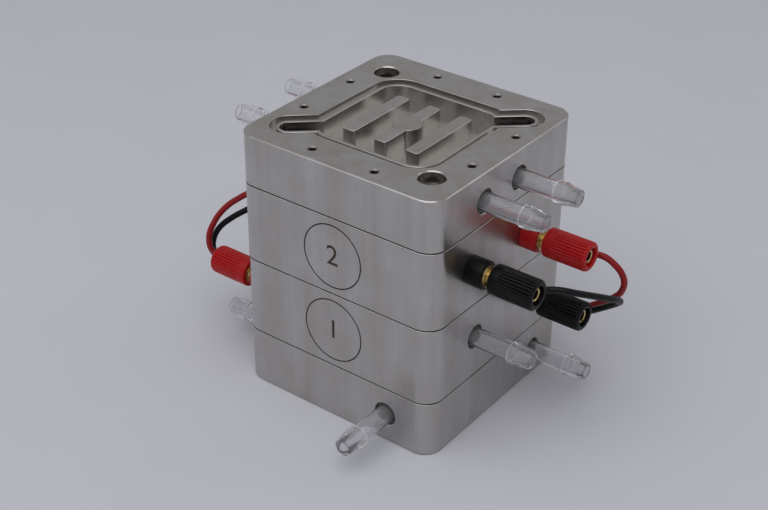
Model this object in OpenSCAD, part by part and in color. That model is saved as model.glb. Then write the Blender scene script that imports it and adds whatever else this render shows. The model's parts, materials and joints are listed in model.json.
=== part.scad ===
// Two-stage electrolytic cell: a base plate, two cell bodies and a top plate screwed into
// one steel block, with clear hose barbs, binding posts and jumper leads on its faces.
// The origin is the centre of the face it stands on; the engraved front looks along -Y.

/* [Block] */
// Side of the square block
block_w = 100; // [98:0.5:112]
// Radius of the four upright corners
corner_r = 8.5; // [5:0.5:11]
// Thickness of the base plate
base_t = 26; // [25:0.5:34]
// Thickness of each cell body
cell_t = 35.75; // [35:0.25:44]
// Thickness of the top plate
top_t = 23; // [23:0.5:32]
// Chamfer on the outer edges of the plates
edge_c = 0.4; // [0.2:0.1:0.8]
// Radius of the circles engraved on the front
circle_r = 14.8; // [10:0.2:15.6]

/* [Flow field] */
// Half the width of the square chamber
chamber_half = 28.5; // [28:0.25:29]
// Corner radius of the chamber
chamber_r = 9; // [7:0.5:9.5]
// Depth of the flow channels below the rib tops
channel_d = 6; // [4.5:0.25:6.5]
// Drop of the ridge and rib tops below the plate's face
ridge_drop = 1; // [0.5:0.1:1.2]
// Width of the ridge between chamber and seal groove
ridge_w = 1.5; // [1:0.1:1.8]
// Width of the seal groove
groove_w = 2.6; // [2:0.1:3]
// Depth of the seal groove
groove_d = 2.4; // [1.8:0.1:3]
// Width of the two corner slots
slot_w = 8; // [7.6:0.1:8.6]
// Distance of a slot's round end from the block's axis, across the block
slot_x = 36.5; // [35:0.25:37]
// Distance of a slot's round end from the block's axis, along the block
slot_y = 32; // [31:0.25:33]
// Length of the deep hole at the end of a slot
slot_hole_l = 7; // [4:0.5:9]
// Width of each rib
rib_w = 6.2; // [4:0.1:8]
// Length of each rib
rib_l = 38.6; // [30:0.2:44]
// Distance between rib centres
rib_pitch = 16; // [13:0.25:19]
// Radius of the boss on the middle rib
boss_r = 6.3; // [4.5:0.1:8]

/* [Screws] */
// Thread radius of the small tapped holes in the top face
tap_r = 1.65; // [1.25:0.05:2]
// Depth of the small tapped holes
tap_d = 6; // [4:0.25:6]
// Distance of a small tapped hole from the axis, towards its face
tap_far = 42.5; // [41.5:0.25:43.5]
// Distance of a small tapped hole from the axis, along its face
tap_side = 15.5; // [14:0.25:17]
// Distance of the two corner tie screws from the axis, across the block
tie_x = 36; // [35:0.25:37]
// Distance of the two corner tie screws from the axis, along the block
tie_y = 33; // [32.5:0.25:34]
// Thread radius of the tie screws
tie_r = 3; // [2.5:0.1:3.2]
// Reach of the tie screws into the top plate
tie_bite = 10.5; // [8:0.5:13]
// Radius of the recess above each tie screw
recess_r = 5.5; // [4.5:0.1:6.5]
// Depth of the recess above each tie screw
recess_d = 6.5; // [4:0.25:8]
// Thread radius of the four clamp screws
clamp_r = 2; // [1.5:0.1:2.2]
// Reach of the clamp screws into the top plate
clamp_bite = 11.5; // [8:0.5:13]

/* [Hose barbs] */
// Radius of the threaded ports
port_r = 5.2; // [4.6:0.1:5.4]
// Depth of the threaded ports
port_d = 9; // [7:0.5:10]
// Radius of the drilled ways behind the ports
way_r = 2.3; // [1.5:0.1:2.5]
// Radius of a barb's neck
barb_r = 3.95; // [3.4:0.05:4.3]
// Radius of a barb's ridge
barb_ridge_r = 4.8; // [4.4:0.05:5.2]
// Radius of a barb's tip
barb_tip_r = 3.6; // [3:0.05:4]
// Radius of a barb's bore
barb_bore_r = 2.5; // [1.5:0.05:2.6]
// Length of a barb outside the block
barb_l = 28; // [24:0.5:34]
// Length of a barb's neck outside the block
barb_neck = 18; // [14:0.5:20]

/* [Binding posts] */
// Radius of a knob over its ribs
knob_r = 6.1; // [5.7:0.1:6.6]
// Length of a knob
knob_l = 20.4; // [19.6:0.2:24]
// Number of grooves round a knob
knob_grooves = 28; // [16:1:28]
// Radius of a collar
collar_r = 5.8; // [5:0.1:6.4]
// Length of a collar
collar_l = 7.7; // [6:0.1:10]
// Thread radius of a stem inside its knob
stem_r = 3; // [2.7:0.05:3.3]
// Radius of a stem inside the block
shank_r = 2.5; // [2:0.05:2.6]
// Radius of the plug socket in a stem
socket_r = 2.02; // [1.9:0.01:2.1]
// Depth of the plug socket in a stem
socket_d = 16; // [12:0.5:16.5]
// Radius of an insulating bush
bush_r = 4.2; // [3.6:0.1:4.3]

/* [Electrodes] */
// Radius of an electrode
electrode_r = 21; // [20:0.25:21.5]
// Thickness of an electrode
electrode_t = 1.5; // [1:0.1:2]
// Distance of an electrode's middle from the membrane
electrode_gap = 5.4; // [4.5:0.1:5.6]
// Radius of a membrane
membrane_r = 22; // [21.5:0.1:22.3]
// Thickness of a membrane
membrane_t = 0.4; // [0.2:0.1:0.8]
// Radius of the opening between an electrode and its membrane
window_r = 19; // [16:0.25:19.5]

/* [Leads] */
// Diameter of the jumper leads
lead_dia = 2.8; // [2.2:0.1:3.2]
// Radius of a lead's bare end
wire_r = 0.8; // [0.5:0.05:0.9]

/* [Hidden] */
$fn = 64;

// Overshoot of a cut, clearance of a tight fit and of a loose one
eps = 0.5;
fit_gap = 0.05;
slide_gap = 0.2;

// Levels of the plates and of the membranes
half = block_w / 2;
lower_z = base_t;
upper_z = base_t + cell_t;
top_z = base_t + 2 * cell_t;
block_h = top_z + top_t;
lower_mid = lower_z + cell_t / 2;
upper_mid = upper_z + cell_t / 2;

// Side faces, as turns about Z from +X
RIGHT = 0;
BACK = 90;
LEFT = 180;
FRONT = 270;

// Line engraved for a circle
circle_w = 0.6;
circle_d = 0.4;

// Slots and chambers
slot_turn = atan2(slot_y, slot_x);
slot_reach = norm([slot_x, slot_y]);
pocket_d = ridge_drop + channel_d;
lip_t = 3;
lip_in = 3.5;
under_d = 4;

// Screw heads and their seats above the underside
tie_head_r = 5;
tie_head_h = 2 * tie_r;
tie_seat = 8;
clamp_head_r = 3.5;
clamp_head_h = 2 * clamp_r;
clamp_seat = 9;

// Electrode arms and the lugs that take the stems
arm_w = 6;
lug_r = 3.2;
lug_h = 3.6;

// Binding posts, measured out from the face
flange_r = 4.6;
flange_t = 0.9;
washer_t = 0.8;
wire_room = 2.3;
knob_z = collar_l + flange_t + wire_room;
knob_end = knob_z + knob_l;
wire_z = knob_z - wire_room / 2;
stem_sunk = 1.2;
stem_end = knob_end - stem_sunk;
mouth_r = 4;
mouth_d = 4.3;
lead_gap = 0.4;
lead_start = knob_r + lead_gap;

// Places of the posts along their faces, how far some stand off their electrodes, and their contacts
corner_post = 24;
red_post = 16;
side_post = 15;
back_post = 4;
corner_post_rise = 0.4;
red_post_drop = 1.8;
slot_post_rise = 0.8;
lug_wall = 0.7;
side_contact = chamber_half - lug_r - lug_wall;
corner_contact = 21;

// Turn of the right-hand posts' cross holes, so that their leads leave sloping down
right_turn = -38;

// Each post: face, place along it, height, distance of its contact from the axis, its lead's side,
// the turn of its cross hole
upper_right_black = [RIGHT, -corner_post, upper_mid + corner_post_rise, corner_contact, 1, right_turn];
upper_right_red = [RIGHT, red_post, upper_mid - red_post_drop, side_contact, 1, right_turn];
lower_right_black = [RIGHT, side_post, lower_mid + electrode_gap, side_contact, 1, right_turn];
lower_left_red = [LEFT, slot_y, lower_mid - electrode_gap + slot_post_rise, slot_x, -1, 0];
lower_left_black = [LEFT, -side_post, lower_mid + electrode_gap, side_contact, 1, 0];
upper_left_red = [LEFT, -side_post, upper_mid - electrode_gap, side_contact, 1, 0];
lower_back_red = [BACK, -back_post, lower_mid - electrode_gap, side_contact, -1, 0];
upper_back_black = [BACK, back_post, upper_mid + electrode_gap, side_contact, 1, 0];

// The posts by colour and by the electrode that they serve
RED_POSTS = [upper_right_red, lower_left_red, upper_left_red, lower_back_red];
BLACK_POSTS = [upper_right_black, lower_right_black, lower_left_black, upper_back_black];
LOWER_ANODE_POSTS = [lower_left_red, lower_back_red];
LOWER_CATHODE_POSTS = [lower_right_black, lower_left_black];
UPPER_ANODE_POSTS = [upper_right_red, upper_left_red];
UPPER_CATHODE_POSTS = [upper_right_black, upper_back_black];
LOWER_POSTS = concat(LOWER_ANODE_POSTS, LOWER_CATHODE_POSTS);
UPPER_POSTS = concat(UPPER_ANODE_POSTS, UPPER_CATHODE_POSTS);
POSTS = concat(RED_POSTS, BLACK_POSTS);

// Places of the barbs along their faces, and the ways behind them
riser_in = 20;
riser_r = 1.4;
riser_wall = 0.1;
slot_barb_in = 5;
base_riser_side = chamber_half - riser_r - riser_wall;
base_slot_side = slot_y - slot_barb_in;
top_barb_side = 16.5;
top_barb_near = 8;
cell_barb_side = 19;
cell_barb_rise = 1.1;
top_port_drop = 1.5;
top_port_z = top_z + top_t / 2 - top_port_drop;
base_port_z = base_t / 2;
slot_way = half - slot_x + slot_w / 2;

// Each barb: face, place along it, height, reach of the way behind it
top_right_front = [RIGHT, -top_barb_side, top_port_z, half - riser_in];
top_right_back = [RIGHT, top_barb_near, top_port_z, half - riser_in];
top_left_front = [LEFT, top_barb_side, top_port_z, half - riser_in];
top_left_back = [LEFT, -top_barb_side, top_port_z, half - riser_in];
cell_side = [RIGHT, -cell_barb_side, lower_mid + cell_barb_rise, half - chamber_half + eps];
base_front = [FRONT, base_riser_side, base_port_z, half - riser_in];
base_right = [RIGHT, base_slot_side, base_port_z, slot_way];
base_back = [BACK, base_riser_side, base_port_z, half - riser_in];
base_left = [LEFT, base_slot_side, base_port_z, slot_way];
TOP_PORTS = [top_right_front, top_right_back, top_left_front, top_left_back];
BASE_RISER_PORTS = [base_front, base_back];
BASE_SLOT_PORTS = [base_right, base_left];

// Routes of the jumper leads, from one post's cross hole to another's
right_black_route = [
    [59.75, -18.88, 76.02], [59.75, -17.1, 74.7], [60.5, -14.7, 72.8], [62.7, -12.8, 71.3],
    [65.7, -12, 70.6], [70.2, -11.7, 71.9], [75.6, -10.6, 73.7], [81, -8, 74.4], [86, -4.2, 73.1],
    [90.6, 1.8, 70.5], [93.8, 9, 66.8], [94.8, 15.4, 63.2], [93.8, 20.4, 59.4], [90.8, 24.2, 55.4],
    [86.2, 26.6, 51], [81, 27.8, 46.8], [75.6, 27.8, 43.2], [70.4, 27.2, 40.9], [65.7, 27, 39.9],
    [62.7, 26.2, 40.5], [60.5, 24.3, 42], [59.75, 21.9, 43.9], [59.75, 20.12, 45.27]];
right_red_route = [
    [59.75, 21.12, 73.82], [59.75, 22.9, 72.5], [60.5, 25.3, 70.6], [62.7, 27.2, 69.1],
    [65.7, 28, 68.4], [69.8, 28.2, 69.2], [74.4, 28.6, 70.8], [79.4, 29.2, 71.4], [84.4, 30.2, 69],
    [88.4, 31.8, 63.2], [87.6, 33.6, 55.6], [82.4, 35.2, 48.6], [76, 37.2, 42.8], [69, 39.6, 36.8],
    [62.4, 42.8, 31], [56.6, 47.2, 26.8], [50.6, 51.8, 24.8], [44.4, 54.8, 25], [37, 56.8, 27.6],
    [28.8, 58.4, 32.2], [21, 59.5, 36.6], [14.6, 59.75, 38.4], [10.5, 59.75, 38.5]];
left_red_route = [
    [-59.75, -25.5, 39.3], [-59.75, -23.2, 39.3], [-60.5, -20.2, 39.1], [-62.8, -18, 38.6],
    [-65.9, -17.2, 37.9], [-72, -18.2, 35.8], [-80, -21, 33.2], [-87, -23.2, 32.2], [-92.6, -24.4, 35],
    [-95, -23.8, 41], [-94.4, -20.6, 47.8], [-91.4, -16.2, 54.4], [-86, -11.6, 59.8], [-78.4, -7, 65],
    [-70.6, -3.4, 69.4], [-65.2, -1, 71.8], [-62.2, 0.8, 73.2], [-60.4, 3.2, 74], [-59.75, 6.2, 74.2],
    [-59.75, 8.5, 74.2]];
left_black_route = [
    [-59.75, 8.5, 49.3], [-59.75, 6.4, 49.3], [-60.1, 3.4, 48.8], [-61.5, 1, 47], [-63.8, -0.6, 44.4],
    [-67.4, -2, 40.6], [-72.4, -4.4, 35], [-78.2, -8, 29.6], [-84.6, -12.6, 25.8], [-90.6, -16.8, 25.2],
    [-94.8, -19.2, 28.4], [-96.6, -19.8, 33.2], [-96.4, -19.2, 38.2], [-94.4, -17.2, 43.6],
    [-90.2, -13.2, 48.4], [-84.4, -7.4, 52.8], [-77.4, 2.4, 57.6], [-70, 14, 62], [-65, 26, 67],
    [-60, 39, 72], [-54.6, 50.6, 76.8], [-46.8, 59, 81], [-37, 63.4, 83.6], [-26.6, 63, 84.8],
    [-18, 60.6, 85], [-13.4, 59.75, 85], [-10.5, 59.75, 85]];

// Puts a shape on a side face, with its own +Z pointing out of the block
module on_face(at) {
    rotate([0, 0, at[0]]) translate([half, at[1], at[2]]) rotate([0, 90, 0]) children();
}

module rounded_square(h, r) {
    square([2 * h, 2 * (h - r)], center = true);
    square([2 * (h - r), 2 * h], center = true);
    for (x = [-1, 1], y = [-1, 1]) translate([x * (h - r), y * (h - r)]) circle(r);
}

// One plate of the block, with its edges broken all round
module plate(z, t) {
    flat = half - corner_r;
    side = [[edge_c - half, 0], [half - edge_c, 0], [half, edge_c], [half, t - edge_c],
            [half - edge_c, t], [edge_c - half, t], [-half, t - edge_c], [-half, edge_c]];
    corner = [[0, 0], [corner_r - edge_c, 0], [corner_r, edge_c], [corner_r, t - edge_c],
              [corner_r - edge_c, t], [0, t]];
    translate([0, 0, z]) {
        for (turn = [0, 90]) rotate([90, 0, turn]) linear_extrude(2 * flat, center = true) polygon(side);
        for (x = [-flat, flat], y = [-flat, flat]) translate([x, y, 0]) rotate_extrude() polygon(corner);
    }
}

// The two slots that leave the chamber at opposite corners
module slots(start, grow) {
    w = slot_w + 2 * grow;
    for (turn = [0, 180]) rotate(slot_turn + turn) {
        translate([start, -w / 2]) square([slot_reach - start, w]);
        for (x = [start, slot_reach]) translate([x, 0]) circle(w / 2);
    }
}

module chamber_outline(grow = 0) {
    rounded_square(chamber_half + grow, chamber_r + grow);
    slots(0, grow);
}

module ribs() {
    end_r = 1.2;
    for (i = [-1, 0, 1]) translate([i * rib_pitch, 0]) {
        square([rib_w, rib_l - 2 * end_r], center = true);
        square([rib_w - 2 * end_r, rib_l], center = true);
        for (x = [-1, 1], y = [-1, 1])
            translate([x * (rib_w / 2 - end_r), y * (rib_l / 2 - end_r)]) circle(end_r);
    }
    circle(boss_r);
}

// Seal groove, ridge and chamber, cut down into a face at height z
module flow_field(z) {
    translate([0, 0, z - ridge_drop]) linear_extrude(ridge_drop + eps) chamber_outline(ridge_w);
    translate([0, 0, z - groove_d]) linear_extrude(groove_d + eps) difference() {
        chamber_outline(ridge_w + groove_w);
        chamber_outline(ridge_w);
    }
    translate([0, 0, z - pocket_d]) linear_extrude(pocket_d) difference() {
        chamber_outline();
        children();
    }
}

module seal(z) {
    squeeze = 0.1;
    color("dimgray") translate([0, 0, z - groove_d]) linear_extrude(groove_d) difference() {
        chamber_outline(ridge_w + groove_w - squeeze);
        chamber_outline(ridge_w + squeeze);
    }
}

module deep_slot_holes(z, h) {
    relief = 0.5;
    translate([0, 0, z]) linear_extrude(h) slots(slot_reach - slot_hole_l, -relief);
}

// Hole with a broken edge, cut down from a face
module edged_hole(r, d, edge) {
    translate([0, 0, -d]) cylinder(r = r, h = d + eps);
    translate([0, 0, -edge]) cylinder(r1 = r, r2 = r + edge + eps, h = edge + eps);
}

// Threaded port and the way drilled on from it
module port(at) {
    edge = 0.4;
    on_face(at) {
        edged_hole(port_r, port_d, edge);
        translate([0, 0, -at[3]]) cylinder(r = way_r, h = at[3]);
    }
}

// Upright way at the end of a port's way
module riser(at, z, h) {
    rotate([0, 0, at[0]]) translate([half - at[3], at[1], z]) cylinder(r = riser_r, h = h);
}

module tie_places() {
    for (s = [-1, 1]) translate([s * tie_x, -s * tie_y, 0]) children();
}

module clamp_places() {
    for (x = [-1, 1], y = [-1, 1]) translate([x * tap_side, y * tap_far, 0]) children();
}

// Clearance ways for both kinds of long screw
module screw_ways(z, t) {
    translate([0, 0, z - eps]) {
        tie_places() cylinder(r = tie_r + slide_gap, h = t + 2 * eps);
        clamp_places() cylinder(r = clamp_r + slide_gap, h = t + 2 * eps);
    }
}

module base_plate() {
    riser_h = base_t - pocket_d - base_port_z + eps;
    color("silver") difference() {
        plate(0, base_t);
        flow_field(base_t) ribs();
        deep_slot_holes(base_port_z - way_r, base_t - base_port_z);
        for (at = concat(BASE_RISER_PORTS, BASE_SLOT_PORTS)) port(at);
        for (at = BASE_RISER_PORTS) riser(at, base_port_z, riser_h);
        screw_ways(0, base_t);
        translate([0, 0, -eps]) {
            tie_places() cylinder(r = tie_head_r + slide_gap, h = tie_seat + eps);
            clamp_places() cylinder(r = clamp_head_r + slide_gap, h = clamp_seat + eps);
        }
    }
}

// Steel body of one cell: a lined chamber with a lip below, open to the seal face above
module cell_body(z, posts) {
    difference() {
        plate(z, cell_t);
        flow_field(z + cell_t);
        translate([0, 0, z + lip_t]) linear_extrude(cell_t) rounded_square(chamber_half, chamber_r);
        translate([0, 0, z - eps]) linear_extrude(cell_t)
            rounded_square(chamber_half - lip_in, chamber_r - lip_in);
        screw_ways(z, cell_t);
        on_face([FRONT, 0, z + cell_t / 2]) translate([0, 0, -circle_d])
            linear_extrude(circle_d + eps) difference() {
                circle(circle_r);
                circle(circle_r - circle_w);
            }
        for (at = posts) {
            on_face(at) translate([0, 0, at[3] - half])
                cylinder(r = bush_r + fit_gap, h = half - at[3] + eps);
            translate([0, 0, z + lip_t]) at_contact(at) cylinder(r = lug_r + slide_gap, h = cell_t);
        }
    }
}

module lower_cell_body() {
    color("silver") difference() {
        cell_body(lower_z, LOWER_POSTS);
        port(cell_side);
        translate([0, 0, lower_z + lip_t]) linear_extrude(cell_t) rotate(slot_turn + 180) {
            translate([0, -slot_w / 2]) square([slot_reach, slot_w]);
            translate([slot_reach, 0]) circle(slot_w / 2);
        }
    }
}

module upper_cell_body() color("silver") cell_body(upper_z, UPPER_POSTS);

module top_plate() {
    edge = 0.5;
    color("silver") difference() {
        plate(top_z, top_t);
        flow_field(block_h) ribs();
        deep_slot_holes(top_z - eps, top_t);
        translate([0, 0, top_z - eps]) {
            linear_extrude(under_d + eps) rounded_square(chamber_half - lip_in, chamber_r - lip_in);
            tie_places() cylinder(r = tie_r + fit_gap, h = top_t);
            clamp_places() cylinder(r = clamp_r + fit_gap, h = clamp_bite + 2 * eps);
        }
        for (at = TOP_PORTS) {
            port(at);
            riser(at, top_z, top_t / 2);
        }
        translate([0, 0, block_h]) {
            tie_places() edged_hole(recess_r, recess_d, edge);
            for (turn = [0, 90]) rotate(turn) clamp_places() edged_hole(tap_r, tap_d, edge);
        }
    }
}

module lower_seal() seal(lower_z);
module middle_seal() seal(upper_z);
module upper_seal() seal(top_z);

// Place of a post's contact on the block's plan, and the span of its lug on an electrode
function contact(at) = [cos(at[0]) * at[3] - sin(at[0]) * at[1], sin(at[0]) * at[3] + cos(at[0]) * at[1]];
function lug_low(at, mid) = min(mid - electrode_t / 2, at[2] - lug_h);
function lug_top(at, mid) = max(mid + electrode_t / 2, at[2] + lug_h);

module along_arm(at) {
    c = contact(at);
    rotate(atan2(c.y, c.x)) children();
}

module at_contact(at) translate(contact(at)) children();

// Room in a cell's liner for the lugs, their arms and the bushes that reach them
module contact_rooms(mid, anode_posts, cathode_posts) {
    low = mid - cell_t / 2;
    anode_z = mid - electrode_gap;
    cathode_z = mid + electrode_gap;
    room_w = arm_w + 2 * slide_gap;
    room_h = cell_t / 2 - electrode_gap + electrode_t / 2 + slide_gap;
    room_in = (window_r + electrode_r) / 2;
    for (at = anode_posts) {
        translate([0, 0, low]) at_contact(at)
            cylinder(r = lug_r + slide_gap, h = lug_top(at, anode_z) + slide_gap - low);
        along_arm(at) translate([room_in, -room_w / 2, low])
            cube([norm(contact(at)) - room_in, room_w, room_h]);
    }
    for (at = cathode_posts) {
        foot = lug_low(at, cathode_z) - slide_gap;
        translate([0, 0, foot]) at_contact(at) cylinder(r = lug_r + slide_gap, h = low + cell_t - foot);
        along_arm(at) translate([room_in, -room_w / 2, low + cell_t - room_h])
            cube([norm(contact(at)) - room_in, room_w, room_h]);
    }
    for (at = concat(anode_posts, cathode_posts)) on_face(at) translate([0, 0, at[3] + lug_r / 2 - half])
        cylinder(r = bush_r + slide_gap, h = half - at[3]);
}

// One half of a cell's insulating liner: a window to the membrane, wider behind the electrode
module liner(foot, top, wide_foot, wide_top) {
    color("ivory") difference() {
        translate([0, 0, foot]) linear_extrude(top - foot)
            rounded_square(chamber_half - slide_gap, chamber_r - slide_gap);
        translate([0, 0, foot - eps]) cylinder(r = window_r, h = top - foot + 2 * eps);
        translate([0, 0, wide_foot]) cylinder(r = electrode_r + slide_gap, h = wide_top - wide_foot);
        children();
    }
}

module anode_liner(z, mid) {
    foot = z + lip_t;
    liner(foot, mid - membrane_t / 2, foot - eps, mid - electrode_gap + electrode_t / 2) children();
}

module cathode_liner(z, mid) {
    top = z + cell_t - pocket_d;
    liner(mid + membrane_t / 2, top, mid + electrode_gap - electrode_t / 2, top + eps) children();
}

module lower_rooms() contact_rooms(lower_mid, LOWER_ANODE_POSTS, LOWER_CATHODE_POSTS);
module upper_rooms() contact_rooms(upper_mid, UPPER_ANODE_POSTS, UPPER_CATHODE_POSTS);

module lower_anode_liner() anode_liner(lower_z, lower_mid) lower_rooms();
module upper_anode_liner() anode_liner(upper_z, upper_mid) upper_rooms();
module upper_cathode_liner() cathode_liner(upper_z, upper_mid) upper_rooms();

module lower_cathode_liner() {
    feed_z = lower_mid + membrane_t / 2 + way_r + eps;
    cathode_liner(lower_z, lower_mid) {
        lower_rooms();
        on_face([cell_side[0], cell_side[1], feed_z]) translate([0, 0, -half]) cylinder(r = way_r, h = half);
    }
}

// Round electrode with an arm to the lug of each post that serves it
module electrode(mid, posts) {
    low = mid - electrode_t / 2;
    difference() {
        union() {
            translate([0, 0, low]) cylinder(r = electrode_r, h = electrode_t);
            for (at = posts) {
                foot = lug_low(at, mid);
                along_arm(at) translate([0, -arm_w / 2, low]) cube([norm(contact(at)), arm_w, electrode_t]);
                translate([0, 0, foot]) at_contact(at) cylinder(r = lug_r, h = lug_top(at, mid) - foot);
            }
        }
        for (at = posts) on_face(at) translate([0, 0, at[3] - half - fit_gap])
            cylinder(r = shank_r + fit_gap, h = 2 * lug_r);
    }
}

module lower_anode() color("dimgray") electrode(lower_mid - electrode_gap, LOWER_ANODE_POSTS);
module lower_cathode() color("gray") electrode(lower_mid + electrode_gap, LOWER_CATHODE_POSTS);
module upper_anode() color("dimgray") electrode(upper_mid - electrode_gap, UPPER_ANODE_POSTS);
module upper_cathode() color("gray") electrode(upper_mid + electrode_gap, UPPER_CATHODE_POSTS);

module membrane(mid) {
    color("wheat") translate([0, 0, mid]) cylinder(r = membrane_r, h = membrane_t, center = true);
}

module lower_membrane() membrane(lower_mid);
module upper_membrane() membrane(upper_mid);

// Socket-head screw standing head down on its seat
module long_screw(r, tip, head_r, head_h, seat) {
    key_r = 0.9 * r;
    color("darkgray") translate([0, 0, seat]) difference() {
        union() {
            translate([0, 0, -head_h]) cylinder(r = head_r, h = head_h);
            translate([0, 0, -eps]) cylinder(r = r, h = tip - seat + eps);
        }
        translate([0, 0, -head_h - eps]) cylinder(r = key_r, h = head_h / 2 + eps, $fn = 6);
    }
}

module tie_screws() tie_places() long_screw(tie_r, top_z + tie_bite, tie_head_r, tie_head_h, tie_seat);

module clamp_screws() {
    clamp_places() long_screw(clamp_r, top_z + clamp_bite, clamp_head_r, clamp_head_h, clamp_seat);
}

// Clear hose barb, screwed into its port until it sits a little below the face
module barb(at) {
    sunk = 1.2;
    land = 3;
    screw_r = port_r - fit_gap;
    color("aliceblue") on_face(at) rotate_extrude() polygon([
        [barb_bore_r, -port_d], [screw_r, -port_d], [screw_r, -sunk], [barb_r, -sunk],
        [barb_r, barb_neck], [barb_ridge_r, barb_neck], [barb_ridge_r, barb_neck + land],
        [barb_tip_r, barb_l], [barb_bore_r, barb_l]]);
}

module top_right_front_barb() barb(top_right_front);
module top_right_back_barb() barb(top_right_back);
module top_left_front_barb() barb(top_left_front);
module top_left_back_barb() barb(top_left_back);
module cell_barb() barb(cell_side);
module base_front_barb() barb(base_front);
module base_right_barb() barb(base_right);
module base_back_barb() barb(base_back);
module base_left_barb() barb(base_left);

// Insulating collar between the block and a stem's flange
module collar(at) {
    edge = 0.6;
    bore = shank_r + fit_gap;
    on_face(at) rotate_extrude() polygon([
        [bore, 0], [collar_r, 0], [collar_r, collar_l - edge],
        [collar_r - edge, collar_l], [bore, collar_l]]);
}

module red_collars() color("firebrick") for (at = RED_POSTS) collar(at);
module black_collars() color("black") for (at = BLACK_POSTS) collar(at);

// Brass stem: shank through the wall, flange, thread with a cross hole, and the plug socket
module stem(at) {
    on_face(at) difference() {
        union() {
            translate([0, 0, at[3] - half]) cylinder(r = shank_r, h = half - at[3] + collar_l + eps);
            translate([0, 0, collar_l]) cylinder(r = flange_r, h = flange_t);
            translate([0, 0, collar_l]) cylinder(r = stem_r, h = stem_end - collar_l);
        }
        translate([0, 0, stem_end - socket_d]) cylinder(r = socket_r, h = socket_d + eps);
        translate([0, 0, wire_z]) rotate([90, 0, at[5]])
            cylinder(r = wire_r + fit_gap, h = 4 * stem_r, center = true);
    }
}

module post_stems() color("goldenrod") for (at = POSTS) stem(at);

// Insulating bush round a shank, from the face to the lug
module bush(at) {
    l = half - at[3] - lug_r - slide_gap;
    on_face(at) translate([0, 0, -l]) difference() {
        cylinder(r = bush_r, h = l);
        translate([0, 0, -eps]) cylinder(r = shank_r + fit_gap, h = l + 2 * eps);
    }
}

module post_bushes() color("white") for (at = POSTS) bush(at);

// Moulded knob: plain rim round its washer, grooved grip, and a mouth round the stem's socket
module knob(at) {
    rim = 0.8;
    tip = 1.2;
    plain = 4.5;
    groove = 0.75;
    bore = stem_r + fit_gap;
    seat_r = flange_r + fit_gap;
    seat_z = knob_z + washer_t + fit_gap;
    on_face(at) difference() {
        rotate_extrude() polygon([
            [seat_r, knob_z], [knob_r - rim, knob_z], [knob_r, knob_z + rim], [knob_r, knob_end - tip],
            [knob_r - tip, knob_end], [mouth_r, knob_end], [mouth_r, knob_end - mouth_d],
            [bore, knob_end - mouth_d], [bore, seat_z], [seat_r, seat_z]]);
        for (i = [1:knob_grooves]) rotate(360 * i / knob_grooves)
            translate([knob_r, 0, knob_z + plain]) rotate(45)
                translate([-groove / 2, -groove / 2, 0]) cube([groove, groove, knob_l]);
    }
}

module upper_right_black_knob() color("black") knob(upper_right_black);
module upper_right_red_knob() color("firebrick") knob(upper_right_red);
module lower_right_black_knob() color("black") knob(lower_right_black);
module lower_left_red_knob() color("firebrick") knob(lower_left_red);
module lower_left_black_knob() color("black") knob(lower_left_black);
module upper_left_red_knob() color("firebrick") knob(upper_left_red);
module lower_back_red_knob() color("firebrick") knob(lower_back_red);
module upper_back_black_knob() color("black") knob(upper_back_black);

// Loose brass washer carried in a knob's inner end
module washer(at) {
    color("gold") on_face(at) translate([0, 0, knob_z]) difference() {
        cylinder(r = flange_r, h = washer_t);
        translate([0, 0, -eps]) cylinder(r = stem_r + 2 * fit_gap, h = washer_t + 2 * eps);
    }
}

module upper_right_black_washer() washer(upper_right_black);
module upper_right_red_washer() washer(upper_right_red);
module lower_right_black_washer() washer(lower_right_black);
module lower_left_red_washer() washer(lower_left_red);
module lower_left_black_washer() washer(lower_left_black);
module upper_left_red_washer() washer(upper_left_red);
module lower_back_red_washer() washer(lower_back_red);
module upper_back_black_washer() washer(upper_back_black);

// Bare end of a lead, through its stem's cross hole
module lead_tip(at) {
    side = at[4];
    on_face(at) rotate(at[5]) translate([0, -side * stem_r, wire_z]) rotate([-side * 90, 0, 0])
        cylinder(r = wire_r, h = stem_r + lead_start);
}

module lead_tips() color("peru") for (at = POSTS) lead_tip(at);

// Cross directions carried along a route without twisting
function unit(v) = v / norm(v);
function square_to(side, way) = unit(side - (side * way) * way);
function sides(ways, i = 0, got = []) = i == len(ways) ? got :
    sides(ways, i + 1, concat(got, [square_to(i == 0 ? [0, 0, 1] : got[i - 1], ways[i])]));

// Round lead swept along its route
module lead(route) {
    turns = 8;
    n = len(route);
    ways = [for (i = [0:n - 1]) unit(route[min(i + 1, n - 1)] - route[max(i - 1, 0)])];
    side = sides(ways);
    rings = [for (i = [0:n - 1], k = [0:turns - 1]) let (a = 360 * k / turns)
        route[i] + lead_dia / 2 * (cos(a) * side[i] + sin(a) * cross(ways[i], side[i]))];
    walls = [for (i = [0:n - 2], k = [0:turns - 1])
        let (a = i * turns + k, b = i * turns + (k + 1) % turns)
        each [[a, a + turns, b], [b, a + turns, b + turns]]];
    first = [for (k = [0:turns - 1]) k];
    last = [for (k = [1:turns]) n * turns - k];
    polyhedron(rings, concat(walls, [first, last]));
}

module right_black_lead() color("black") lead(right_black_route);
module right_red_lead() color("firebrick") lead(right_red_route);
module left_red_lead() color("firebrick") lead(left_red_route);
module left_black_lead() color("black") lead(left_black_route);

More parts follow.
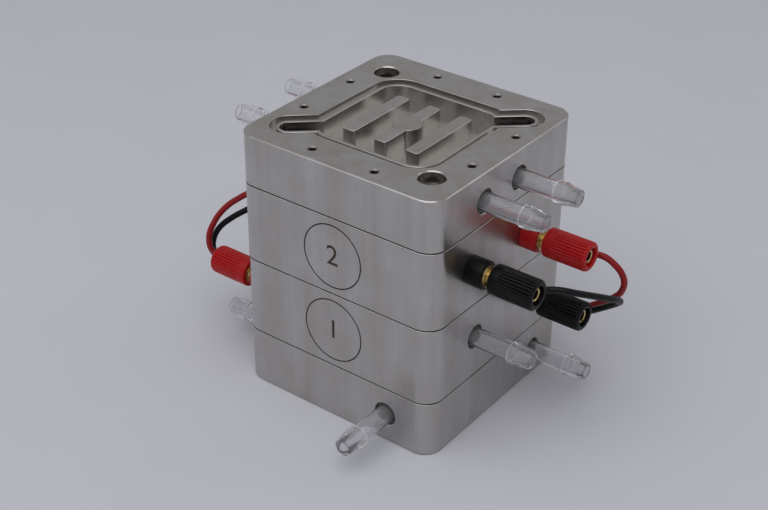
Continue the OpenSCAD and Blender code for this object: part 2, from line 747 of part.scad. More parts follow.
base_plate();
lower_cell_body();
upper_cell_body();
top_plate();
lower_seal();
middle_seal();
upper_seal();
lower_anode_liner();
lower_cathode_liner();
upper_anode_liner();
upper_cathode_liner();
lower_anode();
lower_cathode();
upper_anode();
upper_cathode();
lower_membrane();
upper_membrane();
tie_screws();
clamp_screws();
top_right_front_barb();
top_right_back_barb();
top_left_front_barb();
top_left_back_barb();
cell_barb();
base_front_barb();
base_right_barb();
base_back_barb();
base_left_barb();
red_collars();
black_collars();
post_stems();
post_bushes();
upper_right_black_knob();
upper_right_red_knob();
lower_right_black_knob();
lower_left_red_knob();
lower_left_black_knob();
upper_left_red_knob();
lower_back_red_knob();
upper_back_black_knob();
upper_right_black_washer();
upper_right_red_washer();
lower_right_black_washer();
lower_left_red_washer();
lower_left_black_washer();
upper_left_red_washer();
lower_back_red_washer();
upper_back_black_washer();
lead_tips();
right_black_lead();
right_red_lead();
left_red_lead();
left_black_lead();
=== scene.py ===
import json
import math
import bmesh
import bpy
from mathutils import Matrix, Vector

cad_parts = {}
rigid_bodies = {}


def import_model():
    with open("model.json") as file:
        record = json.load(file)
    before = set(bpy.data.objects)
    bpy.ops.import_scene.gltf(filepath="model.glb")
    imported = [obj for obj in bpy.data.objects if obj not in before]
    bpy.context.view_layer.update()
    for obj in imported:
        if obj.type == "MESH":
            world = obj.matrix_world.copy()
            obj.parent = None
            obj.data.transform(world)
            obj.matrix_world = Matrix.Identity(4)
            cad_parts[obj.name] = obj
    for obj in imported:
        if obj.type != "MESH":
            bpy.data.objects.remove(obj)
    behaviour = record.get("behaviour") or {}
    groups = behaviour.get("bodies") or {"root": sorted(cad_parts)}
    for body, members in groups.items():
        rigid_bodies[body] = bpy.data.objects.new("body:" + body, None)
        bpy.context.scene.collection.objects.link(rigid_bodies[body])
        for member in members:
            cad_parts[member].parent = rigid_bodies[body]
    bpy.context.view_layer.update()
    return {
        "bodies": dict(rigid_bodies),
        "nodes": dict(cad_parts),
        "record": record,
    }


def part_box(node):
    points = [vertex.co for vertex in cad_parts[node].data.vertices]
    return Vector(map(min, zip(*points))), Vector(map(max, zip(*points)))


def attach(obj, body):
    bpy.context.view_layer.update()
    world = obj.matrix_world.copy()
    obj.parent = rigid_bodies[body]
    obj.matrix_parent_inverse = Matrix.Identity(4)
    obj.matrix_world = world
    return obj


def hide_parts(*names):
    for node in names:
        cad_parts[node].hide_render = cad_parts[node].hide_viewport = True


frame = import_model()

# Steel block: a base, two cell bodies and an open top plate, stacked and pulled together from below.
# Each is milled from stainless bar, its sides are ground upright on a belt, and every edge is broken
# by a small chamfer that catches the light along the seams.
# Sizes are in millimetres, and Blender's own unit is the metre.
MM = 0.001
weld = 0.001
sharp_angle = math.radians(35)
grain_width = 0.6
grain_length = 7
grain_height = 0.03
band_width = 6
band_length = 90
cloud_width = 18
speckle_height = 0.05
noise_span = {"From Min": 0.3, "From Max": 0.7}
top_lean = 0.8
level = 0.99
facet_angle = math.radians(0.5)
rim_angle = math.radians(80)
rim_width = 0.15
side_margin = 1
rib_drop = 1
field_drop = 1.5 * rib_drop
tap_r = 1.65
tap_reach = 1.5 * tap_r


def linear(hex_colour):
    """An sRGB hex colour as linear red, green, blue and alpha."""
    channels = [int(hex_colour[i:i + 2], 16) / 255 for i in (1, 3, 5)]
    return [c / 12.92 if c <= 0.04045 else ((c + 0.055) / 1.055) ** 2.4 for c in channels] + [1.0]


def new_material(name, **fixed):
    """A principled material with the given sockets set, an underscore for each space."""
    material = bpy.data.materials.new(name)
    material.use_nodes = True
    shader = material.node_tree.nodes["Principled BSDF"]
    for socket, value in fixed.items():
        shader.inputs[socket.replace("_", " ")].default_value = value
    return material


def add(material, kind, inputs=None, **settings):
    """Adds a node to a material, with its settings, and its inputs set or linked."""
    node = material.node_tree.nodes.new("ShaderNode" + kind)
    for name, value in settings.items():
        setattr(node, name, value)
    for name, value in (inputs or {}).items():
        if isinstance(value, bpy.types.NodeSocket):
            material.node_tree.links.new(value, node.inputs[name])
        else:
            node.inputs[name].default_value = value
    return node


def feed(material, **outputs):
    """Links node outputs to the principled shader's sockets."""
    shader = material.node_tree.nodes["Principled BSDF"]
    for socket, output in outputs.items():
        material.node_tree.links.new(output, shader.inputs[socket.replace("_", " ")])


def piece(name, shape, material, body, slot, *nodes):
    """Makes a bmesh, in metres, an object that rides on a body and stands for CAD nodes."""
    for face in shape.faces:
        face.smooth = True
    for edge in shape.edges:
        edge.smooth = edge.calc_face_angle(0) < sharp_angle
    mesh = bpy.data.meshes.new(name)
    shape.to_mesh(mesh)
    shape.free()
    mesh.materials.append(material)
    made = bpy.data.objects.new(name, mesh)
    bpy.context.collection.objects.link(made)
    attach(made, body)
    if nodes:
        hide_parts(*nodes)
    return made


def merged(node):
    """A copy of a CAD node with its loose triangles merged, so that its round faces shade smoothly."""
    shape = bmesh.new()
    shape.from_mesh(frame["nodes"][node].data)
    bmesh.ops.remove_doubles(shape, verts=shape.verts, dist=weld * MM)
    return shape


def speckled(name, light, dark, grain, rough, relief, **fixed):
    """A material whose colour, gloss and relief wander together over a grain in millimetres."""
    material = new_material(name, **fixed)
    spot = add(material, "TexCoord").outputs["Object"]
    grains = add(material, "TexNoise", {"Vector": spot, "Scale": 1 / (grain * MM), "Detail": 4.0})
    noise = grains.outputs["Fac"]
    tone = add(material, "MixRGB", {"Fac": noise, "Color1": linear(dark), "Color2": linear(light)})
    gloss = add(material, "MapRange", {"Value": noise, **noise_span, "To Min": rough[0], "To Max": rough[1]})
    bumps = add(material, "Bump", {"Height": noise, "Strength": relief, "Distance": speckle_height * MM})
    feed(material, Base_Color=tone.outputs["Color"], Roughness=gloss.outputs["Result"],
         Normal=bumps.outputs["Normal"])
    return material


# Belt-ground stainless steel: upright hairlines blur what it mirrors, over faint warm and cool bands.
# The real lines are under 0.1 mm, and are drawn wider so that they show. Flat tops are ground lengthwise.
ground_steel = new_material("ground_stainless_steel", Metallic=1.0)
spot = add(ground_steel, "TexCoord").outputs["Object"]
across = 1 / (grain_width * MM)
along = 1 / (grain_length * MM)
on_sides = add(ground_steel, "Mapping", {"Vector": spot, "Scale": (across, across, along)})
on_tops = add(ground_steel, "Mapping", {"Vector": spot, "Scale": (across, along, across)})
facing = add(ground_steel, "SeparateXYZ", {"Vector": add(ground_steel, "NewGeometry").outputs["Normal"]})
is_top = add(ground_steel, "Math", {0: facing.outputs["Z"], 1: top_lean}, operation="GREATER_THAN")
lines_at = add(ground_steel, "MixRGB", {
    "Fac": is_top.outputs["Value"], "Color1": on_sides.outputs["Vector"],
    "Color2": on_tops.outputs["Vector"]})
lines = add(ground_steel, "TexNoise", {"Vector": lines_at.outputs["Color"], "Scale": 1.0, "Detail": 3.0})
band_across = 1 / (band_width * MM)
band_along = 1 / (band_length * MM)
in_bands = add(ground_steel, "Mapping", {"Vector": spot, "Scale": (band_across, band_across, band_along)})
bands = add(ground_steel, "TexNoise", {"Vector": in_bands.outputs["Vector"], "Scale": 1.0, "Detail": 2.0})
clouds = add(ground_steel, "TexNoise", {"Vector": spot, "Scale": 1 / (cloud_width * MM), "Detail": 3.0})
patches = add(ground_steel, "MixRGB", {
    "Fac": 0.5, "Color1": clouds.outputs["Fac"], "Color2": bands.outputs["Fac"]})
spread = add(ground_steel, "MapRange", {
    "Value": patches.outputs["Color"], "From Min": 0.32, "From Max": 0.68})
tint = add(ground_steel, "MixRGB", {
    "Fac": spread.outputs["Result"], "Color1": linear("#B1ACA5"), "Color2": linear("#C2C0C0")})
streak = add(ground_steel, "MapRange", {
    "Value": lines.outputs["Fac"], **noise_span, "To Min": 0.96, "To Max": 1.025})
shade = add(ground_steel, "MixRGB", {
    "Fac": 1.0, "Color1": tint.outputs["Color"], "Color2": streak.outputs["Result"]}, blend_type="MULTIPLY")
dull = add(ground_steel, "MapRange", {
    "Value": lines.outputs["Fac"], **noise_span, "To Min": 0.28, "To Max": 0.33})
hairlines = add(ground_steel, "Bump", {
    "Height": lines.outputs["Fac"], "Strength": 0.02, "Distance": grain_height * MM})
feed(ground_steel, Base_Color=shade.outputs["Color"], Roughness=dull.outputs["Result"],
     Normal=hairlines.outputs["Normal"])
# Milled stainless steel in the flow field: smoother than the ground faces, so its walls mirror the ribs.
milled_steel = speckled("milled_stainless_steel", "#C6C3C0", "#B3AFAA", grain=3.0, rough=(0.19, 0.27),
                        relief=0.05, Metallic=1.0)
# Tapped steel: painted shade, a darker and duller colour standing in for the shade of the unmodelled
# thread's flanks.
tapped_steel_painted_shade = speckled("tapped_steel_with_painted_shade", "#A6A29D", "#7F7B77", grain=0.8, rough=(0.35, 0.5),
                        relief=0.3, Metallic=1.0)
for node in ("base_plate", "lower_cell_body", "upper_cell_body"):
    piece(node + "_steel", merged(node), ground_steel, "block", "satin_steel", node)
open_top = merged("top_plate")
bmesh.ops.dissolve_limit(open_top, angle_limit=facet_angle, verts=open_top.verts, edges=open_top.edges)
open_top.normal_update()
rims = [edge for edge in open_top.edges if edge.is_convex and edge.calc_face_angle(0) > rim_angle
        and max(face.normal.z for face in edge.link_faces) > level]
bmesh.ops.bevel(open_top, geom=rims, offset=rim_width * MM, offset_type="OFFSET", segments=1, profile=0.5,
                affect="EDGES", material=-1)
taps = []
for mount in frame["record"]["mounts"]:
    if mount["name"].startswith("lid_taps"):
        away = Vector((mount["dims"]["spacing_x_mm"], mount["dims"]["spacing_y_mm"])) / 2 * MM
        taps += [Vector((away.x * x, away.y * y)) for x in (-1, 1) for y in (-1, 1)]
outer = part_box("top_plate")[1] - Vector((side_margin, side_margin, field_drop)) * MM
for face in open_top.faces:
    middle = face.calc_center_median()
    # The walls of the small tapped holes take the painted thread shade.
    if min((middle.xy - tap).length for tap in taps) < tap_reach * MM and face.normal.z < level:
        face.material_index = 2
    elif max(abs(middle.x), abs(middle.y)) < outer.x and middle.z < outer.z:
        face.material_index = 1
milled_top = piece("top_plate_steel", open_top, ground_steel, "block", "satin_steel", "top_plate")
milled_top.data.materials.append(milled_steel)
milled_top.data.materials.append(tapped_steel_painted_shade)

# Seams between the plates: their two chamfers leave a fine V whose narrow gap and upper chamfer lie in
# shade.
# A thin near-black band just inside the faces paints that shade all round the block, leaving the lower
# chamfer bare.
seam_in = 0.05
seam_height = 0.7
seam_rise = 0.19
seam_band_thickness = 0.05
seam_corner = 8.4
seam_corner_steps = 16
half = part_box("base_plate")[1].x
# Painted seam shade: nearly black and dull, a little brown.
seam_shade_paint = speckled("painted_seam_shade", "#151312", "#0B0A09", grain=2.0, rough=(0.6, 0.8),
                 relief=0.1, Specular_IOR_Level=0.2)
# Each band paints the shade along one seam.
for seam, node in (("lower", "base_plate"), ("middle", "lower_cell_body"), ("upper", "upper_cell_body")):
    band = bmesh.new()
    bmesh.ops.create_grid(band, x_segments=1, y_segments=1, size=half / MM - seam_in)
    bmesh.ops.bevel(band, geom=band.verts[:], offset=seam_corner, offset_type="OFFSET",
                    segments=seam_corner_steps, profile=0.5, affect="VERTICES", material=-1)
    flat = band.faces[:]
    raised = bmesh.ops.extrude_edge_only(band, edges=band.edges[:])["geom"]
    bmesh.ops.translate(band, vec=(0, 0, seam_height),
                        verts=[corner for corner in raised if isinstance(corner, bmesh.types.BMVert)])
    bmesh.ops.delete(band, geom=flat, context="FACES_ONLY")
    bmesh.ops.recalc_face_normals(band, faces=band.faces)
    bmesh.ops.solidify(band, geom=band.faces[:], thickness=seam_band_thickness)
    bmesh.ops.recalc_face_normals(band, faces=band.faces)
    foot = Matrix.Translation((0, 0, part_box(node)[1].z + (seam_rise - seam_height / 2) * MM))
    bmesh.ops.transform(band, matrix=foot @ Matrix.Scale(MM, 4), verts=band.verts)
    piece(seam + "_seam_painted_shade", band, seam_shade_paint, "block", "satin_steel")

# Stage marks on the front of the cell bodies: a ring cut by an engraving tool round a plain numeral.
# The tool leaves dark oxide on the floor of the ring, and the numeral is marked by laser.
ring_r = 14.8
ring_width = 0.6
ring_floor = 0.4
ring_steps = 160
oxide_skin = 0.05
numeral_height = 13


def face_place(turn, aside, height):
    """From millimetres about a point on one of the block's sides, z outwards, to the frame."""
    return (Matrix.Rotation(turn, 4, "Z") @ Matrix.Translation((half, aside, height))
            @ Matrix.Rotation(math.pi / 2, 4, "Y") @ Matrix.Scale(MM, 4))


def turned(outline, steps):
    """A bmesh spun about z from an outline of (radius, height) points, which ends on the axis or closes."""
    shape = bmesh.new()
    corners = [shape.verts.new((radius, 0, height)) for radius, height in outline]
    edges = [shape.edges.new(pair) for pair in zip(corners, corners[1:])]
    if outline[0][0] > 0:
        edges.append(shape.edges.new((corners[-1], corners[0])))
    bmesh.ops.spin(shape, geom=corners + edges, axis=(0, 0, 1), cent=(0, 0, 0), angle=2 * math.pi,
                   steps=steps, use_merge=True)
    bmesh.ops.remove_doubles(shape, verts=shape.verts, dist=weld)
    bmesh.ops.recalc_face_normals(shape, faces=shape.faces)
    return shape


# Oxide left by the tool and the laser: dull brown-grey, nearly black where it lies thick.
oxide = speckled("laser_oxide_on_steel", "#5C5148", "#342D28", grain=1.2, rough=(0.5, 0.7),
                 relief=0.2, Metallic=0.6)
front = -math.pi / 2
for numeral, cell in (("1", "lower_cell_body"), ("2", "upper_cell_body")):
    low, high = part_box(cell)
    middle = (low.z + high.z) / 2
    inner = ring_r - ring_width
    ring = turned([(inner, -ring_floor), (ring_r, -ring_floor), (ring_r, oxide_skin - ring_floor),
                   (inner, oxide_skin - ring_floor)], ring_steps)
    bmesh.ops.transform(ring, matrix=face_place(front, 0, middle), verts=ring.verts)
    piece(cell + "_ring_oxide", ring, oxide, "block", "satin_steel")
    writing = bpy.data.curves.new("numeral_" + numeral, "FONT")
    writing.body = numeral
    writing.size = numeral_height
    writing.align_x = "CENTER"
    writing.align_y = "CENTER"
    writing.extrude = oxide_skin / 2
    pattern = bpy.data.objects.new("numeral_pattern_" + numeral, writing)
    bpy.context.collection.objects.link(pattern)
    bpy.context.view_layer.update()
    mark = bmesh.new()
    mark.from_mesh(pattern.to_mesh())
    bpy.data.objects.remove(pattern)
    bmesh.ops.remove_doubles(mark, verts=mark.verts, dist=weld)
    upright = Matrix.Rotation(math.pi / 2, 4, "X") @ Matrix.Scale(MM, 4)
    bmesh.ops.transform(mark, matrix=Matrix.Translation((0, -half, middle)) @ upright, verts=mark.verts)
    piece(cell + "_numeral_oxide", mark, oxide, "block", "satin_steel")

# Seals in the grooves between the plates: cords of EPDM rubber, moulded and pressed flat by the screws.
# None shows from outside.


def dress(material, *nodes):
    """Gives CAD nodes a material."""
    for node in nodes:
        frame["nodes"][node].material_slots[0].material = material


# EPDM rubber: matt black with a dusty bloom.
dress(speckled("moulded_epdm_rubber", "#2B2B2D", "#17171A", grain=1.5, rough=(0.7, 0.85), relief=0.3),
      "lower_seal", "middle_seal", "upper_seal")

# Inside of each cell: a membrane between an anode and a cathode, held in a liner turned in two halves.
# The liners and the bushes round the stems keep the current off the steel. None shows from outside.
# PTFE: waxy white with soft tool marks.
ptfe = speckled("turned_ptfe", "#F1EFE8", "#DEDAD0", grain=2.5, rough=(0.35, 0.5),
                relief=0.15, IOR=1.35)
dress(ptfe, "lower_anode_liner", "lower_cathode_liner", "upper_anode_liner", "upper_cathode_liner",
      "post_bushes")
# Platinised titanium: matt grey, slightly granular.
dress(speckled("platinised_titanium", "#8B8A89", "#6C6B6C", grain=0.6, rough=(0.45, 0.6),
               relief=0.3, Metallic=1.0),
      "lower_anode", "lower_cathode", "upper_anode", "upper_cathode")
# Ion exchange film: thin, amber and slightly cloudy.
dress(speckled("ion_exchange_film", "#D8BE86", "#C2A367", grain=3.0, rough=(0.3, 0.45), relief=0.1),
      "lower_membrane", "upper_membrane")

# Long screws that hold the stack, entered from below: hard stainless steel, turned and rolled.
# Only their heads show, in the recesses under the base. They are cooler and brighter than the plates.
screw_steel = speckled("rolled_stainless_screw", "#C4C6C8", "#A6A8AB", grain=0.5, rough=(0.22, 0.34),
                       relief=0.15, Metallic=1.0)
for node in ("tie_screws", "clamp_screws"):
    piece(node + "_steel", merged(node), screw_steel, "block", "screw_steel", node)

# Hose barbs, screwed into ports in the plates: moulded in clear plastic with one ridge that grips the hose.
# The plain root disappears in the port, and the bore runs right through.
barb_bore = 2.5
barb_root = (5.15, -9, -1.2)
barb_neck = (4.05, 18)
barb_ridge = (4.8, 21)
barb_tip = (3.6, 28)
barb_edge = 0.12
barb_rim = 0.35
circle_steps = 64


def on_face(node):
    """Where a node stands on the block's side, from its box: millimetres, z outwards, to the frame."""
    low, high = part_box(node)
    middle = (low + high) / 2
    if abs(middle.x) > abs(middle.y):
        turn = 0 if middle.x > 0 else math.pi
    else:
        turn = math.pi / 2 if middle.y > 0 else -math.pi / 2
    aside = (Matrix.Rotation(-turn, 3, "Z") @ middle).y
    return face_place(turn, aside, middle.z)


def ease(shape, width):
    """Rounds a shape's sharp edges, as a mould or a file does."""
    sharp = [edge for edge in shape.edges if edge.calc_face_angle(0) > sharp_angle]
    bmesh.ops.bevel(shape, geom=sharp, offset=width, offset_type="OFFSET", segments=2, profile=0.5,
                    affect="EDGES", material=-1)


# Polypropylene: clear and faintly milky, bright along each edge, with the soft ripple of a moulded skin.
polypropylene = speckled("clear_polypropylene", "#FCFCFE", "#F4F4F8", grain=3.0, rough=(0.0, 0.03),
                         relief=0.01, IOR=1.32, Transmission_Weight=0.9)
# The shoulder of the ridge and its rim: the same plastic made whiter and less clear, a painted highlight for
# their bright edge.
ridge_painted_highlight = speckled("polypropylene_painted_highlight", "#FCFCFE", "#F0F0F4", grain=1.0, rough=(0.2, 0.35),
                   relief=0.1, IOR=1.45, Transmission_Weight=0.3)
for node in [name for name in frame["nodes"] if name.endswith("_barb")]:
    barb = turned([(barb_bore, barb_root[1]), barb_root[:2], (barb_root[0], barb_root[2]),
                   (barb_neck[0], barb_root[2]), barb_neck, (barb_ridge[0], barb_neck[1]),
                   (barb_ridge[0], barb_neck[1] + barb_rim), barb_ridge, barb_tip,
                   (barb_bore, barb_tip[1])], circle_steps)
    ease(barb, barb_edge)
    for face in barb.faces:
        middle = face.calc_center_median()
        outside = middle.xy.length > (barb_neck[0] + barb_bore) / 2
        # The ridge's shoulder and rim take the painted highlight.
        if outside and barb_neck[1] - barb_edge < middle.z < barb_neck[1] + barb_rim:
            face.material_index = 1
    bmesh.ops.transform(barb, matrix=on_face(node), verts=barb.verts)
    moulding = piece(node + "_moulding", barb, polypropylene, "block", "clear_plastic", node)
    moulding.data.materials.append(ridge_painted_highlight)

# Collars of the binding posts, between the block and each stem's flange: moulded, red or black by pole.
# The flange clamps them to the steel when the shank is drawn into the electrode's lug.
collar_r = 6.05
collar_l = 7.7
collar_bore = 2.55
collar_edge = 0.5
posts = [name.removesuffix("_knob") for name in frame["bodies"] if name.endswith("_knob")]
# ABS plastic: glossy from the mould, with a faint orange-peel ripple that breaks up its highlights.
red_abs = speckled("moulded_red_abs", "#C01418", "#A80F14", grain=1.6, rough=(0.3, 0.42),
                   relief=0.05, Specular_IOR_Level=0.3)
black_abs = speckled("moulded_black_abs", "#09080B", "#050506", grain=1.6, rough=(0.3, 0.42),
                     relief=0.05, Specular_IOR_Level=0.2)


def join(shape, other):
    """Adds another bmesh to a bmesh and frees it."""
    carrier = bpy.data.meshes.new("carrier")
    other.to_mesh(carrier)
    other.free()
    shape.from_mesh(carrier)
    bpy.data.meshes.remove(carrier)


for colour, plastic in (("red", red_abs), ("black", black_abs)):
    collars = bmesh.new()
    for post in [name for name in posts if name.endswith(colour)]:
        collar = turned([(collar_bore, 0), (collar_r, 0), (collar_r, collar_l), (collar_bore, collar_l)],
                        circle_steps)
        ease(collar, collar_edge)
        bmesh.ops.transform(collar, matrix=on_face(post + "_knob"), verts=collar.verts)
        join(collars, collar)
    piece(colour + "_collar_mouldings", collars, plastic, "block", colour + "_plastic", colour + "_collars")

# Brass stems through the collars: each has a shank, a flange, a rolled thread and a drilled plug socket.
# The shank and flange are the CAD node's own, cut off just above the flange. Beyond it the thread is one
# ridge wound round a core.
flange_top = 8.6
stem_end = 30.1
stem_r = 2.98
thread_root = 2.62
thread_pitch = 1.0
thread_start = 8.7
thread_turns = 19
thread_steps = 48
thread_gap = 0.02
stub = 0.05
socket_r = 2.02
socket_floor = 14.1
stem_edge = 0.3
thread_end = stem_end - 3 * stem_edge
land = stem_end - 2 * stem_edge
# Turned brass: pale yellow and bright, a little darker where it has been handled.
brass = speckled("turned_brass", "#E8D49C", "#D2B67C", grain=0.8, rough=(0.16, 0.28),
                 relief=0.06, Metallic=1.0)
stems = merged("post_stems")
for quarter in range(4):
    outwards = Vector((math.cos(quarter * math.pi / 2), math.sin(quarter * math.pi / 2), 0))
    cut = bmesh.ops.bisect_plane(
        stems, geom=stems.verts[:] + stems.edges[:] + stems.faces[:], plane_no=outwards, clear_outer=True,
        plane_co=outwards * (half + (flange_top + stub) * MM))["geom_cut"]
    bmesh.ops.holes_fill(stems, edges=[bound for bound in cut if isinstance(bound, bmesh.types.BMEdge)])
bmesh.ops.recalc_face_normals(stems, faces=stems.faces)
threaded = turned([(0, flange_top), (thread_root, flange_top), (thread_root, thread_end), (stem_r, land),
                   (stem_r, stem_end - stem_edge), (stem_r - stem_edge, stem_end),
                   (socket_r + stem_edge, stem_end), (socket_r, stem_end - stem_edge),
                   (socket_r, socket_floor), (0, socket_floor)], thread_steps)
thread = bmesh.new()
ridge = [(thread_root - thread_gap, thread_gap), (stem_r, thread_pitch / 2),
         (thread_root - thread_gap, thread_pitch - thread_gap)]
tooth = thread.faces.new([thread.verts.new((radius, 0, thread_start + up)) for radius, up in ridge])
bmesh.ops.spin(thread, geom=[tooth], axis=(0, 0, 1), cent=(0, 0, 0), angle=2 * math.pi * thread_turns,
               dvec=(0, 0, thread_pitch / thread_steps), steps=thread_steps * thread_turns)
bmesh.ops.recalc_face_normals(thread, faces=thread.faces)
join(threaded, thread)
for post in posts:
    stem = threaded.copy()
    bmesh.ops.transform(stem, matrix=on_face(post + "_knob"), verts=stem.verts)
    join(stems, stem)
threaded.free()
piece("post_stems_brass", stems, brass, "block", "post_brass", "post_stems")

# Washers, one under each knob: stamped from the same brass, free to turn in the knob's seat.
washer_r = 4.6
washer_bore = 3.1
washer_z = (10.9, 11.7)
washer_edge = 0.15
for post in posts:
    washer = turned([(washer_bore, washer_z[0]), (washer_r, washer_z[0]), (washer_r, washer_z[1]),
                     (washer_bore, washer_z[1])], circle_steps)
    ease(washer, washer_edge)
    bmesh.ops.transform(washer, matrix=on_face(post + "_knob"), verts=washer.verts)
    piece(post + "_brass_washer", washer, brass, post + "_washer", "post_brass", post + "_washer")

# Knobs: moulded ABS caps with a plain band, a grooved grip and a rounded end, screwed on the stem.
# The mouth lets a plug into the stem's socket. Each turns and travels with its own thread.
knob_z = (10.9, 31.3)
knob_r = 6.4
knob_bore = 3.05
knob_seat = (4.65, 11.75)
knob_mouth = (4.0, 27.0)
band_end = 15.2
band_step = 0.4
inner_round = 0.8
outer_round = 1.5
mouth_round = 0.5
round_steps = 5
grooves = 28
groove_depth = 0.5
groove_half = 0.4
groove_columns = 8


def quarter_round(radius):
    """Points of a rounded edge, from the side to the end: how far in from the side, and from the end."""
    turns = [math.pi / 2 * step / round_steps for step in range(round_steps + 1)]
    return [(radius * (1 - math.cos(turn)), radius * (1 - math.sin(turn))) for turn in turns]


for post in posts:
    outline = [(knob_seat[0], knob_z[0])]
    outline += [(knob_r - inwards, knob_z[0] + up) for inwards, up in reversed(quarter_round(inner_round))]
    outline += [(knob_r, band_end), (knob_r, band_end + band_step)]
    outline += [(knob_r - inwards, knob_z[1] - down) for inwards, down in quarter_round(outer_round)]
    outline += [(knob_mouth[0] + outwards, knob_z[1] - down)
                for outwards, down in reversed(quarter_round(mouth_round))]
    outline += [knob_mouth, (knob_bore, knob_mouth[1]), (knob_bore, knob_seat[1]), knob_seat]
    knob = turned(outline, grooves * groove_columns)
    pitch = 2 * math.pi / grooves
    for corner in knob.verts:
        reach = math.hypot(corner.co.x, corner.co.y)
        if corner.co.z > band_end + band_step / 2 and reach > knob_r - groove_depth:
            turn = math.atan2(corner.co.y, corner.co.x)
            aside = abs(turn - pitch * round(turn / pitch)) * knob_r
            room = min(groove_depth, reach - knob_r + groove_depth)
            cut = room * max(0, 1 - aside / groove_half)
            corner.co.x *= 1 - cut / reach
            corner.co.y *= 1 - cut / reach
    bmesh.ops.transform(knob, matrix=on_face(post + "_knob"), verts=knob.verts)
    colour = post.rsplit("_", 1)[1]
    plastic = red_abs if colour == "red" else black_abs
    piece(post + "_grip", knob, plastic, post + "_knob", colour + "_plastic", post + "_knob")

# Jumper leads between the posts: stranded copper in a soft PVC skin, stripped at both ends.
# The bare strands are twisted and pinched in the stems' cross holes by the washers.
lead_dia = 2.8
bare_length = 9.5
strand_r = 0.26
strands = 6
strand_turns = 1.5
strand_steps = 24
strand_sides = 8
# Each lead's length in metres, and the points of its route in millimetres.
routes = {
    "right_black_lead": (0.1146, [
        (59.75, -18.88, 76.02), (59.75, -17.1, 74.7), (60.5, -14.7, 72.8), (62.7, -12.8, 71.3),
        (65.7, -12, 70.6), (70.2, -11.7, 71.9), (75.6, -10.6, 73.7), (81, -8, 74.4), (86, -4.2, 73.1),
        (90.6, 1.8, 70.5), (93.8, 9, 66.8), (94.8, 15.4, 63.2), (93.8, 20.4, 59.4), (90.8, 24.2, 55.4),
        (86.2, 26.6, 51), (81, 27.8, 46.8), (75.6, 27.8, 43.2), (70.4, 27.2, 40.9), (65.7, 27, 39.9),
        (62.7, 26.2, 40.5), (60.5, 24.3, 42), (59.75, 21.9, 43.9), (59.75, 20.12, 45.27)]),
    "right_red_lead": (0.1446, [
        (59.75, 21.12, 73.82), (59.75, 22.9, 72.5), (60.5, 25.3, 70.6), (62.7, 27.2, 69.1), (65.7, 28, 68.4),
        (69.8, 28.2, 69.2), (74.4, 28.6, 70.8), (79.4, 29.2, 71.4), (84.4, 30.2, 69), (88.4, 31.8, 63.2),
        (87.6, 33.6, 55.6), (82.4, 35.2, 48.6), (76, 37.2, 42.8), (69, 39.6, 36.8), (62.4, 42.8, 31),
        (56.6, 47.2, 26.8), (50.6, 51.8, 24.8), (44.4, 54.8, 25), (37, 56.8, 27.6), (28.8, 58.4, 32.2),
        (21, 59.5, 36.6), (14.6, 59.75, 38.4), (10.5, 59.75, 38.5)]),
    "left_red_lead": (0.1118, [
        (-59.75, -25.5, 39.3), (-59.75, -23.2, 39.3), (-60.5, -20.2, 39.1), (-62.8, -18, 38.6),
        (-65.9, -17.2, 37.9), (-72, -18.2, 35.8), (-80, -21, 33.2), (-87, -23.2, 32.2), (-92.6, -24.4, 35),
        (-95, -23.8, 41), (-94.4, -20.6, 47.8), (-91.4, -16.2, 54.4), (-86, -11.6, 59.8), (-78.4, -7, 65),
        (-70.6, -3.4, 69.4), (-65.2, -1, 71.8), (-62.2, 0.8, 73.2), (-60.4, 3.2, 74), (-59.75, 6.2, 74.2),
        (-59.75, 8.5, 74.2)]),
    "left_black_lead": (0.2103, [
        (-59.75, 8.5, 49.3), (-59.75, 6.4, 49.3), (-60.1, 3.4, 48.8), (-61.5, 1, 47), (-63.8, -0.6, 44.4),
        (-67.4, -2, 40.6), (-72.4, -4.4, 35), (-78.2, -8, 29.6), (-84.6, -12.6, 25.8), (-90.6, -16.8, 25.2),
        (-94.8, -19.2, 28.4), (-96.6, -19.8, 33.2), (-96.4, -19.2, 38.2), (-94.4, -17.2, 43.6),
        (-90.2, -13.2, 48.4), (-84.4, -7.4, 52.8), (-77.4, 2.4, 57.6), (-70, 14, 62), (-65, 26, 67),
        (-60, 39, 72), (-54.6, 50.6, 76.8), (-46.8, 59, 81), (-37, 63.4, 83.6), (-26.6, 63, 84.8),
        (-18, 60.6, 85), (-13.4, 59.75, 85), (-10.5, 59.75, 85)]),
}
# Tinned copper wire: silvery pink strands, each with its own small highlight.
copper = speckled("tinned_copper_strand", "#D8B79C", "#B98C6C", grain=0.6, rough=(0.25, 0.4),
                  relief=0.1, Metallic=1.0)
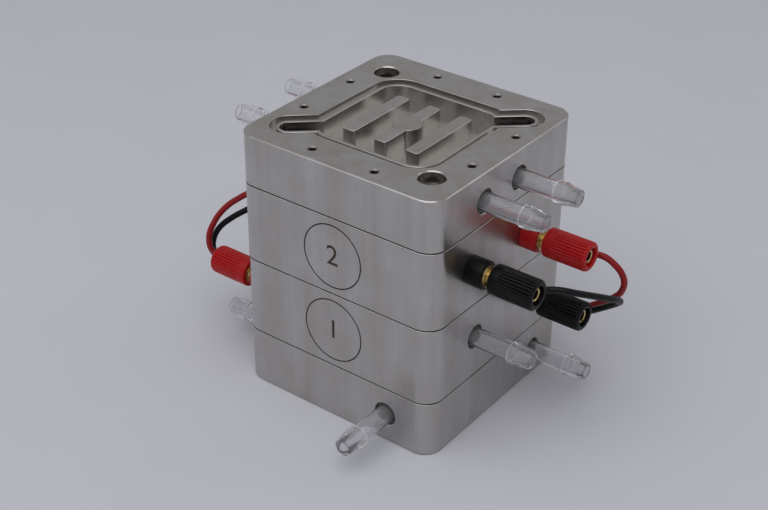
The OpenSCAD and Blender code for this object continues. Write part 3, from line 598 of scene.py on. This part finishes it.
# PVC skin: smooth and a little waxy, so its highlights are long and soft.
red_pvc = speckled("red_pvc_skin", "#A0161D", "#880F17", grain=2.0, rough=(0.34, 0.46),
                   relief=0.05, Specular_IOR_Level=0.35)
black_pvc = speckled("black_pvc_skin", "#0D1012", "#07090A", grain=2.0, rough=(0.34, 0.46),
                     relief=0.05, Specular_IOR_Level=0.28)
for node, (length, route) in routes.items():
    points = [Vector(point) * MM for point in route]
    colour = "red" if "red" in node else "black"
    line = bpy.data.curves.new(node + "_line", "CURVE")
    line.dimensions = "3D"
    line.resolution_u = 10
    line.bevel_depth = lead_dia / 2 * MM
    line.bevel_resolution = 6
    line.use_fill_caps = True
    spline = line.splines.new("BEZIER")
    spline.bezier_points.add(len(points) - 1)
    for knot, point in zip(spline.bezier_points, points):
        knot.co = point
        knot.handle_left_type = "AUTO"
        knot.handle_right_type = "AUTO"
    line.materials.append(red_pvc if colour == "red" else black_pvc)
    skin = bpy.data.objects.new(node + "_skin", line)
    bpy.context.collection.objects.link(skin)
    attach(skin, "block")
    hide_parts(node)
    bare = bmesh.new()
    for tip, before in ((points[0], points[1]), (points[-1], points[-2])):
        heading = (tip - before).to_track_quat("Z", "Y").to_matrix().to_4x4()
        place = Matrix.Translation(tip) @ heading @ Matrix.Scale(MM, 4)
        for strand in range(strands + 1):
            centre = 0 if strand == strands else 2 * strand_r
            around = 2 * math.pi * strand / strands
            end = bmesh.ops.create_circle(
                bare, cap_ends=True, radius=strand_r, segments=strand_sides,
                matrix=Matrix.Translation((centre * math.cos(around), centre * math.sin(around), 0)))
            disc = end["verts"][0].link_faces[0]
            bmesh.ops.spin(
                bare, geom=[disc], cent=(0, 0, 0), axis=(0, 0, 1), dvec=(0, 0, bare_length / strand_steps),
                angle=2 * math.pi * strand_turns, steps=strand_steps)
            loose = {corner for corner in bare.verts if not corner.tag}
            bmesh.ops.transform(bare, matrix=place, verts=list(loose))
            for corner in loose:
                corner.tag = True
    bmesh.ops.recalc_face_normals(bare, faces=bare.faces)
    ends = piece(node + "_bare_ends", bare, copper, "block", "tinned_copper", "lead_tips")

# Studio: a wide sheet of pale paper under the block, a broad soft lamp overhead, and even room light.
# The steel takes its grey from the paper and the room, and two small lamps light its chamfers from the
# front and the back. The paper lies just under the block, so that the two never share a face.
floor_half = 4.0
floor_drop = 0.2
room_grey = (0.38, 0.38, 0.39, 1.0)
# Pale paper: matt and faintly blue, with a mottle too slight to see as a pattern.
paper = speckled("pale_paper_sheet", "#DBDCE4", "#D7D8E0", grain=60, rough=(0.85, 0.95), relief=0.02)
sheet = bmesh.new()
bmesh.ops.create_grid(sheet, x_segments=4, y_segments=4, size=floor_half)
bmesh.ops.translate(sheet, vec=(0, 0, -floor_drop * MM), verts=sheet.verts)
sheet_mesh = bpy.data.meshes.new("paper_floor")
sheet.to_mesh(sheet_mesh)
sheet.free()
sheet_mesh.materials.append(paper)
floor = bpy.data.objects.new("paper_floor", sheet_mesh)
bpy.context.collection.objects.link(floor)
room = bpy.data.worlds.new("room_light")
room.use_nodes = True
room.node_tree.nodes["Background"].inputs["Color"].default_value = room_grey
bpy.context.scene.world = room
# Each lamp's place and width in metres, and its power in watts.
lamps = {
    "overhead_lamp": ((0.1, -0.45, 1.2), 1.4, 5.6),
    "front_lamp": ((-0.78, -0.79, 1.14), 0.5, 0.36),
    "back_lamp": ((0.8, 1.02, 0.9), 0.5, 0.5),
}
for name, (place, size, energy) in lamps.items():
    lamp = bpy.data.lights.new(name, "AREA")
    lamp.shape = "DISK"
    lamp.size = size
    lamp.energy = energy
    stand = bpy.data.objects.new(name, lamp)
    aim = Vector(place).to_track_quat("Z", "Y").to_matrix().to_4x4()
    stand.matrix_world = Matrix.Translation(place) @ aim
    bpy.context.collection.objects.link(stand)
bpy.context.scene.view_settings.view_transform = "Standard"

# Camera at the photograph's place, above the block's front right corner, with a slight roll.
# Its lens, place, turn and height were fitted to the block's corners, for a frame 36 mm wide.
frame_width = 36
focal_length = 68.95
near_clip = 0.01
camera_place = Vector((320.2, -436.54, 390.55)) * MM
camera_turn = math.radians(37.26)
camera_height = math.radians(31.717)
camera_roll = math.radians(0.323)
back = Vector((math.sin(camera_turn) * math.cos(camera_height),
               -math.cos(camera_turn) * math.cos(camera_height), math.sin(camera_height)))
right = Vector((math.cos(camera_turn), math.sin(camera_turn), 0))
axes = Matrix((right, back.cross(right), back)).transposed().to_4x4()
lens = bpy.data.cameras.new("photo_camera")
lens.sensor_width = frame_width
lens.lens = focal_length
lens.clip_start = near_clip
camera = bpy.data.objects.new("photo_camera", lens)
camera.matrix_world = Matrix.Translation(camera_place) @ axes @ Matrix.Rotation(camera_roll, 4, "Z")
bpy.context.collection.objects.link(camera)
bpy.context.scene.camera = camera
